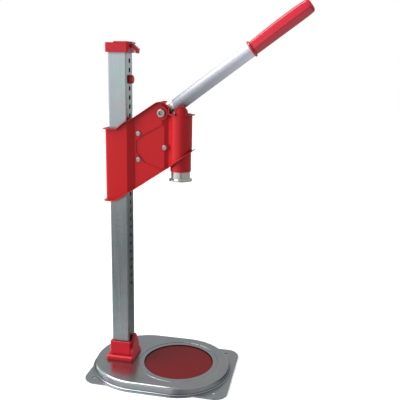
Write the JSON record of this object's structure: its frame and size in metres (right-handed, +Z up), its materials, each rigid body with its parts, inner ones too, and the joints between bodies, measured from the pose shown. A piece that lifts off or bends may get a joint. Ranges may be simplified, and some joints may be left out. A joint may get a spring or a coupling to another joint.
{
  "type": "crown cap bottle capper",
  "caption": "Bench crown capper: slotted column on a pressed base, height-adjustable head, and a lever that drives a crimping bell down over the bottle's crown.",
  "frame": {"origin": "centre of the four bench holes, on the bench plane", "axes": "+X from the column to the bottle and the lever, +Y across the machine, +Z up"},
  "size_m": [0.3434, 0.182, 0.6014],
  "materials": {
    "base_plate": "bright galvanised sheet",
    "bottle_pad": "satin red moulding",
    "column_tube": "bright galvanised tube",
    "column_plug": "plain steel",
    "base_bolts": "zinc plated",
    "foot_collar": "glossy red moulding",
    "top_cap": "glossy red moulding",
    "cap_tongue": "zinc plated",
    "stop_peg": "glossy red moulding",
    "head_shell_front": "glossy red paint",
    "head_shell_back": "glossy red paint",
    "column_guide_upper": "black nylon",
    "column_guide_lower": "black nylon",
    "guide_tube": "glossy red paint",
    "ram_bush_upper": "natural nylon",
    "ram_bush_lower": "natural nylon",
    "shell_rivets": "zinc plated",
    "tie_spacers": "plain steel",
    "pawl_pin": "zinc plated",
    "pawl_spacers": "plain steel",
    "pivot_bolt": "bright zinc",
    "pivot_nut": "zinc plated",
    "lever_arm": "bright turned steel",
    "lever_bush": "sintered bronze",
    "lever_tube": "bright galvanised tube",
    "lever_pin": "spring steel",
    "lever_grip": "glossy red moulding",
    "ram_clevis": "zinc plated",
    "ram_pin": "ground steel",
    "ram_rod": "ground steel",
    "crimp_bell": "bright chrome",
    "crown_magnet": "dark ferrite",
    "magnet_screw": "zinc plated",
    "pawl": "hardened steel"
  },
  "bodies": {
    "stand": {"base_plate": "base_plate", "bottle_pad": "bottle_pad", "column_tube": "column_tube", "column_plug": "column_plug", "base_bolts": "base_bolts", "foot_collar": "foot_collar", "top_cap": "top_cap", "cap_tongue": "cap_tongue"},
    "peg": {"stop_peg": "stop_peg"},
    "head": {"head_shell_front": "head_shell_front", "head_shell_back": "head_shell_back", "column_guide_upper": "column_guide_upper", "column_guide_lower": "column_guide_lower", "guide_tube": "guide_tube", "ram_bush_upper": "ram_bush_upper", "ram_bush_lower": "ram_bush_lower", "shell_rivets": "shell_rivets", "tie_spacers": "tie_spacers", "pawl_pin": "pawl_pin", "pawl_spacers": "pawl_spacers", "pivot_bolt": "pivot_bolt", "pivot_nut": "pivot_nut"},
    "lever": {"lever_arm": "lever_arm", "lever_bush": "lever_bush", "lever_tube": "lever_tube", "lever_pin": "lever_pin", "lever_grip": "lever_grip"},
    "ram": {"ram_clevis": "ram_clevis", "ram_pin": "ram_pin", "ram_rod": "ram_rod", "crimp_bell": "crimp_bell", "crown_magnet": "crown_magnet", "magnet_screw": "magnet_screw"},
    "pawl": {"pawl": "pawl"}
  },
  "joints": [
    {"name": "peg_pull", "type": "slide", "parent": "stand", "child": "peg", "axis": [1, 0, 0], "range_m": [0, 0.012]},
    {"name": "head_height", "type": "slide", "parent": "stand", "child": "head", "axis": [0, 0, 1], "range_m": [-0.224, 0.07]},
    {"name": "lever_swing", "type": "hinge", "parent": "head", "child": "lever", "pos_m": [-0.001, 0, 0.4335], "axis": [0, -1, 0], "range_deg": [-20, 30]},
    {"name": "ram_stroke", "type": "slide", "parent": "head", "child": "ram", "axis": [0, 0, 1], "range_m": [-0.007, 0.0105]},
    {"name": "pawl_swing", "type": "hinge", "parent": "head", "child": "pawl", "pos_m": [-0.038, 0, 0.3598], "axis": [0, -1, 0], "range_deg": [-11.6, 7.8]}
  ],
  "couplings": [
    {"joint": "ram_stroke", "follows": "lever_swing", "m_per_rad": 0.02},
    {"joint": "pawl_swing", "follows": "lever_swing", "ratio": -0.38}
  ]
}
